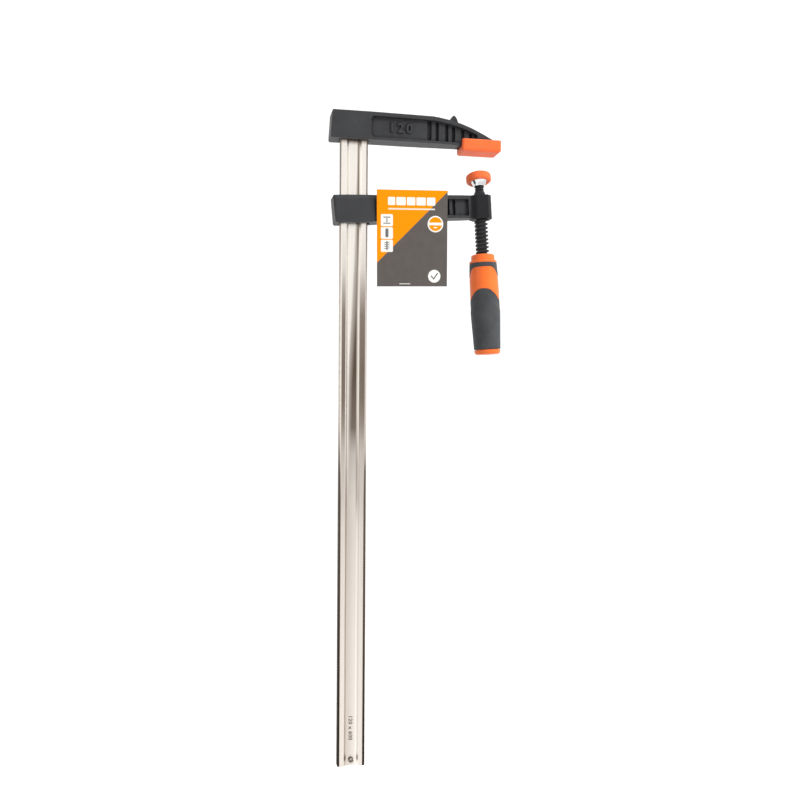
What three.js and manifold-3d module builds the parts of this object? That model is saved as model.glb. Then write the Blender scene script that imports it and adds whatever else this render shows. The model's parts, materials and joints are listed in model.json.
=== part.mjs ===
// F clamp (sliding-arm bar clamp), 120 mm throat, 560 mm opening class.
// Units: millimetres. +Z runs up the bar, +X runs from the bar to the jaws, +Y is the clamp's thickness.
// Origin: centre of the bar's lower end face.
import * as THREE from "three";
import { mergeVertices } from "three/addons/utils/BufferGeometryUtils.js";
import Module from "manifold-3d";

// ---------------------------------------------------------------- driving dimensions
const GAP = 0.3; // clearance between pieces that touch on the real clamp

const BAR_W = 28; // rail width (X)
const BAR_T = 11; // rail thickness (Y)
const BAR_L = 660.4; // rail length
const BAR_CHAMFER = 1.1; // outer edge chamfer of the rail
const BAR_GROOVE_TOP = 15.2; // groove width at the face
const BAR_GROOVE_FLOOR = 10.6; // groove width at the floor
const BAR_GROOVE_DEPTH = 2.6; // groove depth in each broad face

const STOP_PIN_Z = 5.7; // height of the stop pin above the bar foot
const STOP_PIN_R = 2.5; // outside radius of both spring pins
const STOP_PIN_BORE = 1.5; // inside radius of both spring pins
const STOP_PIN_L = 12.4; // stop pin length, proud of both flanges
const JAW_PIN_Z = 647; // height of the pin that locks the fixed jaw

const JAW_BOTTOM = 633.3; // underside of the fixed jaw
const JAW_TOP = 661; // top of the fixed jaw at the bar
const JAW_HALF = 12; // half thickness at the bar
const JAW_TIP_HALF = 8.2; // half thickness at the tip
const JAW_RECESS = 4.2; // depth of the side recesses

const CAP_FACE_Z = 627.4; // clamping face of the fixed jaw's cap
const CAP_TOP_Z = 639.8;
const CAP_HALF = 12.8;
const CAP_X0 = 110.9; // inner end of the cap, towards the bar
const CAP_X1 = 152.8; // outer end of the cap

const ARM_Z = 563; // arm mid height on the bar axis at rest
const ARM_TILT = 3.3; // degrees: play of the arm on the bar lifts its free end
const ARM_WINDOW_X = 30.4; // window that the bar passes through
const ARM_WINDOW_Y = 11.8;
const SPINDLE_X = 134; // spindle axis from the bar axis: 120 mm throat + half a bar

const THREAD_R = 7; // Tr 14 x 4
const THREAD_ROOT_R = 4.9;
const PITCH = 4;
const BORE_R = 7.3; // plain bore in the boss
const BALL_R = 5.2;
const BALL_S = 26.3; // ball centre above the arm's mid plane, along the spindle
const HANDLE_TOP = -48.4; // top of the handle, along the spindle
const HANDLE_END = -152.6; // end of the handle

const HANDLE_TURN = -20; // degrees: where the handle has come to rest in its turn
const PAD_TILT = -12; // degrees: the pad hangs over on its ball

const LATHE_N = 32;

// ---------------------------------------------------------------- helpers
const wasm = await Module();
wasm.setup();

function clean(geometry) {
  const g = geometry.index ? geometry.toNonIndexed() : geometry.clone();
  const bare = new THREE.BufferGeometry().setAttribute("position", g.getAttribute("position"));
  const merged = mergeVertices(bare, 1e-4);
  const pos = merged.attributes.position.array;
  const idx = merged.index.array;
  const keep = [];
  let volume = 0;
  for (let i = 0; i < idx.length; i += 3) {
    const [a, b, c] = [idx[i], idx[i + 1], idx[i + 2]];
    if (a === b || b === c || a === c) continue;
    keep.push(a, b, c);
    const p = (k) => new THREE.Vector3(pos[3 * k], pos[3 * k + 1], pos[3 * k + 2]);
    volume += p(a).dot(p(b).cross(p(c))) / 6;
  }
  if (volume < 0) for (let i = 0; i < keep.length; i += 3) [keep[i + 1], keep[i + 2]] = [keep[i + 2], keep[i + 1]];
  return { pos, tri: new Uint32Array(keep) };
}

function solid(geometry) {
  const { pos, tri } = clean(geometry);
  return new wasm.Manifold(new wasm.Mesh({ numProp: 3, vertProperties: pos, triVerts: tri }));
}

function geometryOf(manifold) {
  const m = manifold.getMesh();
  const g = new THREE.BufferGeometry();
  const stride = m.numProp;
  const pos = new Float32Array((m.vertProperties.length / stride) * 3);
  for (let i = 0; i < pos.length / 3; i++)
    for (let k = 0; k < 3; k++) pos[3 * i + k] = m.vertProperties[i * stride + k];
  g.setAttribute("position", new THREE.BufferAttribute(pos, 3));
  g.setIndex(new THREE.BufferAttribute(new Uint32Array(m.triVerts), 1));
  const flat = g.toNonIndexed();
  flat.computeVertexNormals();
  return flat;
}

function shapeOf(points) {
  return new THREE.Shape(points.map(([x, y]) => new THREE.Vector2(x, y)));
}

// Outline in X and Z, extruded along Y from y0 to y1.
function plateXZ(points, y0, y1) {
  const g = new THREE.ExtrudeGeometry(shapeOf(points), { depth: y1 - y0, bevelEnabled: false });
  g.rotateX(Math.PI / 2);
  g.translate(0, y1, 0);
  return solid(g);
}

// Outline in X and Y, extruded along Z from z0 to z1.
function plateXY(points, z0, z1) {
  const g = new THREE.ExtrudeGeometry(shapeOf(points), { depth: z1 - z0, bevelEnabled: false });
  g.translate(0, 0, z0);
  return solid(g);
}

// Outline in Y and Z, extruded along X from x0 to x1.
function plateYZ(points, x0, x1) {
  const g = new THREE.ExtrudeGeometry(shapeOf(points), { depth: x1 - x0, bevelEnabled: false });
  g.rotateX(Math.PI / 2);
  g.rotateZ(Math.PI / 2);
  g.translate(x0, 0, 0);
  return solid(g);
}

function box(x0, x1, y0, y1, z0, z1) {
  const g = new THREE.BoxGeometry(x1 - x0, y1 - y0, z1 - z0);
  g.translate((x0 + x1) / 2, (y0 + y1) / 2, (z0 + z1) / 2);
  return solid(g);
}

// Profile of [radius, height] pairs turned about Z.
function lathe(profile, n = LATHE_N) {
  const g = new THREE.LatheGeometry(profile.map(([r, z]) => new THREE.Vector2(r, z)), n);
  g.rotateX(Math.PI / 2);
  return solid(g);
}

// Cylinder along Y.
function cylY(r, x, z, y0, y1, n = 24) {
  const g = new THREE.CylinderGeometry(r, r, y1 - y0, n);
  g.translate(x, (y0 + y1) / 2, z);
  return solid(g);
}

function named(name, manifold, color, roughness, metalness) {
  const mesh = new THREE.Mesh(
    geometryOf(manifold),
    new THREE.MeshStandardMaterial({ color, roughness, metalness }),
  );
  mesh.name = name;
  return mesh;
}

const lerpLine = (pts, x) => {
  if (x <= pts[0][0]) return pts[0][1];
  for (let i = 1; i < pts.length; i++)
    if (x <= pts[i][0]) {
      const [x0, y0] = pts[i - 1];
      const [x1, y1] = pts[i];
      return y0 + ((y1 - y0) * (x - x0)) / (x1 - x0);
    }
  return pts[pts.length - 1][1];
};

const IRON = 0x3f4042;
const STEEL = 0xd9d2ca;
const BLACK_STEEL = 0x2b2c2e;
const ORANGE = 0xff7a32;
const RUBBER = 0x484c50;

// ---------------------------------------------------------------- bar
const hw = BAR_W / 2;
const ht = BAR_T / 2;
const gt = BAR_GROOVE_TOP / 2;
const gf = BAR_GROOVE_FLOOR / 2;
const gd = ht - BAR_GROOVE_DEPTH;
const bc = BAR_CHAMFER;
const barSection = [
  [-hw, -ht + bc], [-hw + bc, -ht], [-gt, -ht], [-gf, -gd], [gf, -gd], [gt, -ht], [hw - bc, -ht], [hw, -ht + bc],
  [hw, ht - bc], [hw - bc, ht], [gt, ht], [gf, gd], [-gf, gd], [-gt, ht], [-hw + bc, ht], [-hw, ht - bc],
];
let bar = plateXY(barSection, 0, BAR_L)
  .subtract(cylY(STOP_PIN_R + GAP, 0, STOP_PIN_Z, -8, 8))
  .subtract(cylY(STOP_PIN_R + GAP, 0, JAW_PIN_Z, -8, 8));

// Slotted spring pin along Y.
function springPin(z, y0, y1) {
  return cylY(STOP_PIN_R, 0, z, y0, y1)
    .subtract(cylY(STOP_PIN_BORE, 0, z, y0 - 1, y1 + 1))
    .subtract(box(-0.45, 0.45, y0 - 1, y1 + 1, z - 3, z - 1));
}
const stopPin = springPin(STOP_PIN_Z, -STOP_PIN_L / 2, STOP_PIN_L / 2);
const jawPin = springPin(JAW_PIN_Z, -7.4, 11.7);

// ---------------------------------------------------------------- fixed jaw
const jawTop = [
  [-23.2, 660.2], [-22.2, JAW_TOP], [45.8, JAW_TOP], [70.5, JAW_TOP], [80.5, 660.9], [87.6, 660.2], [97.6, 658.6],
  [111.9, 655.2], [122.4, 651.4], [132.7, 646.8], [143.1, 641.8], [147.5, 639.2],
];
const jawOutline = [
  [-24.9, 635.4], [-24.2, JAW_BOTTOM], [149.6, JAW_BOTTOM], [149.6, 638.6], ...[...jawTop].reverse(),
];
const jawHalf = [
  [-24, JAW_HALF], [17, JAW_HALF], [60, 10.6], [111, 8.8], [150, JAW_TIP_HALF],
];
// Plan view: tapered beam with chamfered corners at the bar end.
function planOutline(half, xEnd, x0, chamfer) {
  const side = half.filter(([x]) => x > x0 && x < xEnd);
  const out = [[x0, -(half[0][1] - chamfer)], [x0 + chamfer, -half[0][1]]];
  for (const [x, h] of side) if (x > x0 + chamfer) out.push([x, -h]);
  out.push([xEnd, -lerpLine(half, xEnd)]);
  return [...out, ...[...out].reverse().map(([x, y]) => [x, -y])];
}
let jaw = plateXZ(jawOutline, -15, 15).intersect(plateXY(planOutline(jawHalf, 150, -25.4, 2.2), 620, 670));
// Wide foot at the tip that carries the cap.
jaw = jaw.add(box(113, 149.6, -10.6, 10.6, JAW_BOTTOM, 637.6));
// Casting nub on the top edge.
jaw = jaw.add(plateXZ([[97.4, 656.6], [100.2, 660.2], [101.8, 663.4], [103.4, 664.9], [105, 664.9], [106.6, 663.2], [108.4, 659.2], [110.2, 654]], -3.4, 3.4));
// Side recesses with a raised web panel and slots between the ribs.
function recessOutline(x0, x1, top, topFlange, bottom, step = 6) {
  const r = 2.4;
  const up = [];
  const down = [];
  for (let x = x0 + r; x <= x1 + 1e-6; x += step) {
    up.push([x, top(x) - topFlange]);
    down.push([x, bottom(x)]);
  }
  const last = up[up.length - 1][0];
  if (last < x1 - 1e-6) {
    up.push([x1, top(x1) - topFlange]);
    down.push([x1, bottom(x1)]);
  }
  return [[x0, bottom(x0) + r], ...down, ...up.reverse(), [x0, top(x0) - topFlange - r]];
}
const jawTopAt = (x) => lerpLine(jawTop, x);
const jawRecess = recessOutline(16.2, 128, jawTopAt, 4.2, () => 635.6, 8);
const jawSlots = [[75.4, 79.6], [84, 87.2], [94.4, 97.6], [101.6, 104.8], [111.7, 114.8], [120.2, 123]];
for (const side of [-1, 1]) {
  // the recess floor follows the taper of the beam
  const deep = [[10, JAW_HALF - JAW_RECESS], [17, JAW_HALF - JAW_RECESS], [60, 10.6 - JAW_RECESS], [111, 8.8 - JAW_RECESS], [130, 8.4 - JAW_RECESS]];
  const floor = [...deep.map(([x, h]) => [x, side * h]), [130, side * 20], [10, side * 20]];
  jaw = jaw.subtract(plateXZ(jawRecess, -20, 20).intersect(plateXY(floor, 620, 670)));
  for (const [a, b] of jawSlots) {
    const mid = (a + b) / 2;
    const top = jawTopAt(b) - 4.4;
    const f = lerpLine(deep, mid);
    jaw = jaw.subtract(
      plateXZ([[a, 637.6], [mid, 636.4], [b, 637.6], [b, top], [a, top]], side > 0 ? f - 2.6 : -(f + 3), side > 0 ? f + 3 : -(f - 2.6)),
    );
  }
}
// Long bevels along the lower edges of the block, running out where the beam tapers.
for (const side of [-1, 1])
  jaw = jaw.subtract(plateYZ([[side * 12.02, 637.1], [side * 10.5, 633.2], [side * 13, 633.2], [side * 13, 637.1]], -30, 58));
// Window for the bar and blind hole for the locking pin.
jaw = jaw
  .subtract(box(-hw - GAP, hw + GAP, -ht - GAP, ht + GAP, 620, 670))
  .subtract(cylY(STOP_PIN_R + GAP, 0, JAW_PIN_Z, -7.8, 20));

// ---------------------------------------------------------------- cap on the fixed jaw
const capOutline = [
  [CAP_X0, CAP_FACE_Z + 1.8], [CAP_X0 + 1.8, CAP_FACE_Z], [CAP_X1 - 1.8, CAP_FACE_Z], [CAP_X1, CAP_FACE_Z + 1.8],
  [CAP_X1, CAP_TOP_Z - 0.6], [CAP_X1 - 0.6, CAP_TOP_Z], [CAP_X0 + 0.6, CAP_TOP_Z], [CAP_X0, CAP_TOP_Z - 0.6],
];
const capSection = [
  [-CAP_HALF, CAP_FACE_Z + 2.2], [-CAP_HALF + 1.7, CAP_FACE_Z], [CAP_HALF - 1.7, CAP_FACE_Z], [CAP_HALF, CAP_FACE_Z + 2.2],
  [CAP_HALF, CAP_TOP_Z - 0.8], [CAP_HALF - 0.8, CAP_TOP_Z], [-CAP_HALF + 0.8, CAP_TOP_Z], [-CAP_HALF, CAP_TOP_Z - 0.8],
];
const capPlan = []; // plan view with rounded upright corners
for (const [sx, sy, turn] of [[0, -1, 1], [1, -1, -1], [1, 1, 1], [0, 1, -1]]) {
  const corner = [[0, 2.6], [0.35, 1.3], [1.3, 0.35], [2.6, 0]];
  if (turn < 0) corner.reverse();
  for (const [dx, dy] of corner) capPlan.push([sx ? CAP_X1 - dx : CAP_X0 + dx, sy * (CAP_HALF - dy)]);
}
let cap = plateXZ(capOutline, -15, 15)
  .intersect(plateYZ(capSection, 100, 160))
  .intersect(plateXY(capPlan, 620, 650));
cap = cap
  .subtract(box(112.6, 150.0, -11, 11, JAW_BOTTOM - 0.35, 638.0))
  .subtract(box(100, 112.8, -9.3, 9.3, JAW_BOTTOM - 0.35, 650))
  .subtract(
    plateXY([[112, -9.3], [150.0, -8.7], [150.0, 8.7], [112, 9.3]], 637.5, 650),
  );

// ---------------------------------------------------------------- sliding arm (own frame: X along the arm, Z across it)
const armTop = [[-21.4, 12.9], [-20.6, 13.7], [-9, 13.8], [13, 13.4], [21, 13.1], [97, 12.6], [126, 12.6]];
const armBottom = [[-20.4, -12.6], [-19.2, -13.8], [12, -14.2], [24, -13.4], [97, -11], [126, -11]];
const armHalf = [[-22.4, 12], [20, 12], [30, 10.6], [97, 9.2], [112, 8], [124, 6.4], [130, 6.4]];
let arm = plateXZ([...armBottom, ...[...armTop].reverse()], -15, 15).intersect(
  plateXY(planOutline(armHalf, 126, -22.4, 2.8), -30, 30),
);
const bossX = 10.6;
const bossY = 10;
const bossC = 4.6;
const boss = plateXY(
  [
    [SPINDLE_X - bossX, -bossY + bossC], [SPINDLE_X - bossX + bossC, -bossY], [SPINDLE_X + bossX - bossC, -bossY],
    [SPINDLE_X + bossX, -bossY + bossC], [SPINDLE_X + bossX, bossY - bossC], [SPINDLE_X + bossX - bossC, bossY],
    [SPINDLE_X - bossX + bossC, bossY], [SPINDLE_X - bossX, bossY - bossC],
  ],
  -11.9,
  12.9,
);
const armTopAt = (x) => lerpLine(armTop, x);
const armBottomAt = (x) => lerpLine(armBottom, x);
const armRecess = recessOutline(21.5, 119.6, armTopAt, 4.1, (x) => armBottomAt(x) + 2.7, 9);
const armSlots = [[36.4, 39.2], [43, 45.6], [58, 60.8], [64.6, 67.2], [78, 80.8], [84.6, 87.2], [96.4, 99.2], [102.8, 105.6]];
for (const side of [-1, 1]) {
  const deep = [[15, 12 - 4], [21, 12 - 4], [30, 10.6 - 4], [97, 9.2 - 4], [112, 8 - 3.8], [125, 6.4 - 3.4]];
  const floor = [...deep.map(([x, h]) => [x, side * h]), [125, side * 20], [15, side * 20]];
  arm = arm.subtract(plateXZ(armRecess, -20, 20).intersect(plateXY(floor, -30, 30)));
  for (const [a, b] of armSlots) {
    const mid = (a + b) / 2;
    const f = lerpLine(deep, mid);
    const low = armBottomAt(a) + 3.4;
    const top = armTopAt(b) - 4.3;
    arm = arm.subtract(
      plateXZ([[a, low + 1], [mid, low], [b, low + 1], [b, top], [a, top]], side > 0 ? f - 2.4 : -(f + 3), side > 0 ? f + 3 : -(f - 2.4)),
    );
  }
}
for (const side of [-1, 1])
  arm = arm
    .subtract(plateYZ([[side * 12.02, 9.4], [side * 10.4, 14.2], [side * 13, 14.2], [side * 13, 9.4]], -30, 29))
    .subtract(plateYZ([[side * 12.02, -10.8], [side * 10.6, -14.4], [side * 13, -14.4], [side * 13, -10.8]], -30, 29));
arm = arm
  .add(boss)
  .subtract(box(-ARM_WINDOW_X / 2, ARM_WINDOW_X / 2, -ARM_WINDOW_Y / 2, ARM_WINDOW_Y / 2, -30, 30));
const boreTool = lathe([[0, -30], [BORE_R, -30], [BORE_R, 30], [0, 30]], 40).translate([SPINDLE_X, 0, 0]);
arm = arm.subtract(boreTool);

// ---------------------------------------------------------------- spindle (own frame: Z along the spindle, 0 at the arm's mid plane)
// Trapezoidal thread: a sheared grid whose rows run along the helix.
function threadedRod(z0, z1, n = 20) {
  const rows = [
    [0.0, THREAD_ROOT_R], [0.32, THREAD_ROOT_R], [0.46, THREAD_R], [0.86, THREAD_R],
  ];
  const turns = Math.ceil((z1 - z0) / PITCH) + 2;
  const total = turns * 4;
  const start = z0 - PITCH;
  const verts = [];
  const index = (j, k) => (j === n ? index(0, k + 4) : j * (total + 5) + k);
  for (let j = 0; j < n; j++)
    for (let k = 0; k <= total + 4; k++) {
      const [f, r] = rows[k % 4];
      const a = (2 * Math.PI * j) / n;
      const z = start + PITCH * (Math.floor(k / 4) + f + j / n);
      verts.push(r * Math.cos(a), r * Math.sin(a), z);
    }
  const tris = [];
  const quad = (a, b, c, d) => tris.push(a, b, c, a, c, d);
  for (let j = 0; j < n; j++)
    for (let k = 0; k < total; k++) quad(index(j, k), index(j + 1, k), index(j + 1, k + 1), index(j, k + 1));
  // ends: fans from the axis; column 0 steps one pitch at the seam
  const low = verts.length / 3;
  verts.push(0, 0, start + 0.5 * PITCH);
  const high = low + 1;
  verts.push(0, 0, start + PITCH * turns + 0.5 * PITCH);
  for (let j = 0; j < n; j++) tris.push(low, index(j + 1, 0), index(j, 0));
  for (let k = 0; k < 4; k++) tris.push(low, index(0, k), index(0, k + 1));
  for (let j = 0; j < n; j++) tris.push(high, index(j, total), index(j + 1, total));
  for (let k = 0; k < 4; k++) tris.push(high, index(0, total + k + 1), index(0, total + k));
  const g = new THREE.BufferGeometry();
  g.setAttribute("position", new THREE.BufferAttribute(new Float32Array(verts), 3));
  g.setIndex(tris);
  return solid(g);
}
const rodTrim = lathe([[0, -51.4], [THREAD_R + 0.6, -51.4], [THREAD_R + 0.6, 11.6], [4.2, 14.6], [0, 14.6]], 20);
const rod = threadedRod(-54, 17).intersect(rodTrim);
const NECK_R = 3.2; // neck under the ball
const ballLow = Math.sqrt(BALL_R * BALL_R - NECK_R * NECK_R);
const ballProfile = [];
for (let i = 0; i <= 8; i++) {
  const a = -Math.PI / 2 + Math.acos(ballLow / BALL_R) + ((Math.PI - Math.acos(ballLow / BALL_R)) * i) / 8;
  ballProfile.push([Math.max(0, BALL_R * Math.cos(a)), BALL_S + BALL_R * Math.sin(a)]);
}
ballProfile[ballProfile.length - 1][0] = 0;
const shank = lathe(
  [
    [0, -127.6], [4.1, -127.6], [4.1, -126.2], [3, -126.2], [3, -124], [5, -124], [5, -51.8], [4.4, -51.2],
    [4.4, 12.6], [5.75, 13.4], [5.85, 15.1], [4.5, 18.5], [4.5, BALL_S - 7.4], [3.0, BALL_S - 7.35],
    [3.0, BALL_S - 5.8], [NECK_R, BALL_S - 5.75], ...ballProfile,
  ],
  20,
);
const spindle = rod.add(shank);

// Retaining ring in the groove under the ball.
const ring = lathe([[3.35, BALL_S - 7.1], [4.75, BALL_S - 7.1], [4.75, BALL_S - 6.05], [3.35, BALL_S - 6.05], [3.35, BALL_S - 7.1]], 24);

// Swivel plate: pressed steel dish crimped round the ball.
const cavR = BALL_R + 0.3;
const mouth = 4.5;
const cav = [];
const a0 = -Math.acos(mouth / cavR);
for (let i = 0; i <= 8; i++) {
  const a = a0 + ((Math.PI / 2 - a0) * i) / 8;
  cav.push([Math.max(0, cavR * Math.cos(a)), BALL_S + cavR * Math.sin(a)]);
}
cav[cav.length - 1][0] = 0;
const plate = lathe([
  ...[...cav].reverse(),
  [4.8, 22.0], [5.9, 22.0], [6.25, 22.4], [6.25, 24.2], [7.2, 25.9], [8.0, 27.3], [8.9, 28.4], [8.9, 31.6], [8.2, 32.9], [0, 32.9],
]);

// Plastic cap pressed over the plate.
const padCap = lathe([
  [0, 33.2], [8.4, 33.2], [9.2, 31.95], [9.2, 28.25], [8.4, 27.3], [11.4, 27.3], [12.6, 28.2], [13, 29.4], [13, 33.8],
  [12.4, 34.9], [11.2, 35.4], [0, 35.4],
]);

// ---------------------------------------------------------------- handle (spindle frame)
const body = [
  [-57.2, 14.1], [-62, 14.2], [-68, 14.65], [-75, 15], [-85, 15.1], [-95, 15.15], [-105, 15.15], [-112, 15], [-118, 14.8],
  [-125, 14.55], [-138, 14.05], [-147.6, 13.6],
];
const R = (s) => lerpLine([...body].reverse(), s);
const bodyStations = body.map(([s]) => s);
const bodyLathe = (offset, s0, s1) => {
  const mid = bodyStations.filter((s) => s < s0 && s > s1);
  const pts = [s0, ...mid, s1].map((s) => [R(s) + offset, s]);
  return lathe([[0, s0], ...pts, [0, s1]]);
};
const arch = (x) => -84.8 - 11.6 * (Math.abs(x) / 15.2) ** 2.6; // top edge of the grip
const windowTop = (x) => -61.9 - 10 * (Math.abs(x) / 14.5) ** 7; // lower edge of the top band
const xs = [-17.5, -16, -14.5, -13, -11, -9, -6.5, -3.5, 0, 3.5, 6.5, 9, 11, 13, 14.5, 16, 17.5];
const below = (f, shift, end) => plateXZ([[-17.5, end], [17.5, end], ...[...xs].reverse().map((x) => [x, f(x) + shift])], -20, 20);
const above = (f, shift, end) => plateXZ([...xs.map((x) => [x, f(x) + shift]), [17.5, end], [-17.5, end]], -20, 20);

const core = lathe([
  [0, HANDLE_TOP], [10.4, HANDLE_TOP], [11.8, HANDLE_TOP - 0.5], [12.2, HANDLE_TOP - 1.6], [12.3, -54.4], [13.7, -55.2], [14.2, -55.9], [14.2, -57.2],
  ...bodyStations.slice(1).map((s) => [R(s), s]), [0, -147.6],
])
  .subtract(above(windowTop, -GAP, -57.2).subtract(bodyLathe(-1.9, -50, -150)))
  .subtract(below(arch, GAP, -160).subtract(bodyLathe(-2.1, -50, -147.6)))
  .subtract(lathe([[0, -40], [7.4, -40], [7.4, -53], [5.3, -54.5], [5.3, -123.7], [9, -123.7], [9, -160], [0, -160]], 24));
const band = above(windowTop, 0, -57.5).intersect(bodyLathe(0, -57.5, -80)).subtract(bodyLathe(-1.6, -50, -90));
const grip = below(arch, 0, -147.3).intersect(bodyLathe(0, -70, -147.3)).subtract(bodyLathe(-1.8, -60, -150));
const endCap = lathe([
  [0, -142.5], [8.6, -142.5], [8.6, -147.9], [13.5, -147.9], [13.7, -148.6], [13.5, -150.2], [12.5, -152], [10.9, HANDLE_END], [0, HANDLE_END],
]);
const washer = lathe([[3.3, -124.3], [8, -124.3], [8, -125.8], [3.3, -125.8], [3.3, -124.3]], 24);

// ---------------------------------------------------------------- hang card (card sleeve round the arm with a long front panel)
const CARD_X0 = 21.1;
const CARD_X1 = 94.3;
const LOOP_X0 = 34; // the loop round the arm is narrower than the panel
const LOOP_X1 = 84;
const cardTop = 582.4;
const cardFoot = 486.4;
const CARD_TOP_Y = -17.2; // the front panel leans: its foot hangs under the arm
const CARD_LEAN = 12.2 / 96;
const T = 0.6; // card thickness
const panelY = (z) => CARD_TOP_Y + CARD_LEAN * (cardTop - z);
const panel = plateYZ(
  [[panelY(cardFoot), cardFoot], [panelY(cardFoot) + T, cardFoot], [panelY(cardTop) + T, cardTop], [panelY(cardTop), cardTop]],
  CARD_X0,
  CARD_X1,
);
const loop = plateYZ(
  [
    [panelY(546.2) + T / 2, 546.2], [13.2, 546.2], [14.2, 547.2], [14.2, cardTop - 1], [13.2, cardTop], [panelY(cardTop) + T / 2, cardTop],
  ],
  LOOP_X0,
  LOOP_X1,
).subtract(
  plateYZ(
    [
      [panelY(546.8) + T, 546.8], [13.0, 546.8], [13.6, 547.4], [13.6, cardTop - 1.2], [13.0, cardTop - T], [panelY(cardTop - T) + T, cardTop - T],
    ],
    LOOP_X0 - 5,
    LOOP_X1 + 5,
  ),
);
const card = panel.add(loop);

// ---------------------------------------------------------------- assembly
const clamp = new THREE.Group();
clamp.add(
  named("bar_rail", bar, STEEL, 0.28, 1),
  named("bar_stop_pin", stopPin, 0x8c8a88, 0.35, 1),
  named("fixed_jaw", jaw, IRON, 0.6, 0.3),
  named("fixed_jaw_pin", jawPin, 0x8c8a88, 0.35, 1),
  named("fixed_jaw_cap", cap, ORANGE, 0.5, 0),
);

const armFrame = new THREE.Group();
armFrame.position.set(0, 0, ARM_Z);
armFrame.rotation.y = THREE.MathUtils.degToRad(-ARM_TILT);
armFrame.add(named("sliding_arm", arm, IRON, 0.6, 0.3));

const spindleFrame = new THREE.Group();
spindleFrame.position.set(SPINDLE_X, 0, 0);
spindleFrame.add(
  named("spindle", spindle, BLACK_STEEL, 0.4, 0.8),
  named("ball_retaining_ring", ring, BLACK_STEEL, 0.4, 0.8),
  named("handle_lock_washer", washer, 0x8c8a88, 0.4, 1),
);

const padFrame = new THREE.Group();
padFrame.position.set(0, 0, BALL_S);
padFrame.rotation.x = THREE.MathUtils.degToRad(PAD_TILT);
for (const mesh of [named("swivel_plate", plate, 0xd6dadc, 0.15, 1), named("pad_cap", padCap, ORANGE, 0.5, 0)]) {
  mesh.geometry.translate(0, 0, -BALL_S);
  padFrame.add(mesh);
}
spindleFrame.add(padFrame);

const handleFrame = new THREE.Group();
handleFrame.rotation.z = THREE.MathUtils.degToRad(HANDLE_TURN);
handleFrame.add(
  named("handle_core", core, ORANGE, 0.45, 0),
  named("handle_top_band", band, RUBBER, 0.8, 0),
  named("handle_grip", grip, RUBBER, 0.8, 0),
  named("handle_end_cap", endCap, ORANGE, 0.45, 0),
);
spindleFrame.add(handleFrame);
armFrame.add(spindleFrame);
clamp.add(armFrame);

// The card hangs on the arm, a little off level.
const cardFrame = new THREE.Group();
const cardMesh = named("hang_card", card, 0xff9e14, 0.5, 0);
cardMesh.geometry.translate(-58.3, 0, -582.4);
cardFrame.position.set(58.3, 0, 582.6);
cardFrame.rotation.y = THREE.MathUtils.degToRad(-1.7);
cardFrame.add(cardMesh);
clamp.add(cardFrame);

export default clamp;
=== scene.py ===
# F clamp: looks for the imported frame. Every length in the builders is in millimetres; meshes are written in metres.
import json
import math

import bmesh
import bpy
import numpy as np
from mathutils import Matrix, Vector


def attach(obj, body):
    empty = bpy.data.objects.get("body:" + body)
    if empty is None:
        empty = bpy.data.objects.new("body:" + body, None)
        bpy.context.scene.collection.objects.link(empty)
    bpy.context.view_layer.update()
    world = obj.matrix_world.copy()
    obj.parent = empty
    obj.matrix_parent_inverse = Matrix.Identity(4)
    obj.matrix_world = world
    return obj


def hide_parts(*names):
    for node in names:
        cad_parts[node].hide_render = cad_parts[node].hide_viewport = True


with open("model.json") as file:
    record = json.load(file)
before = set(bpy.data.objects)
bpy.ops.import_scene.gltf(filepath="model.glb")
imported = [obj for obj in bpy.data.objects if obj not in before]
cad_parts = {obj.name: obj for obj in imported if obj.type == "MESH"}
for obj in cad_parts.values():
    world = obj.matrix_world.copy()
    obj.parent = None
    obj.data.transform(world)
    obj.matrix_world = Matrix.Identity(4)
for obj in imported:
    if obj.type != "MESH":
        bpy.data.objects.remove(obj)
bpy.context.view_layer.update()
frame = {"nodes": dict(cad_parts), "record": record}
nodes = frame["nodes"]
record = frame["record"]

MM = 0.001
TILT = math.radians(3.3)
ARM = Matrix.Translation((0, 0, 563)) @ Matrix.Rotation(-TILT, 4, "Y")
SP = ARM @ Matrix.Translation((134, 0, 0))
PAD = SP @ Matrix.Translation((0, 0, 26.3)) @ Matrix.Rotation(math.radians(-12), 4, "X") @ Matrix.Translation((0, 0, -26.3))
HANDLE = SP @ Matrix.Rotation(math.radians(-20), 4, "Z")
ROOT = Matrix.Identity(4)
SCALE = Matrix.Scale(MM, 4)


# ------------------------------------------------------------------ materials
def srgb(r, g, b):
    def lin(c):
        c /= 255.0
        return c / 12.92 if c <= 0.04045 else ((c + 0.055) / 1.055) ** 2.4

    return (lin(r), lin(g), lin(b), 1.0)


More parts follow.
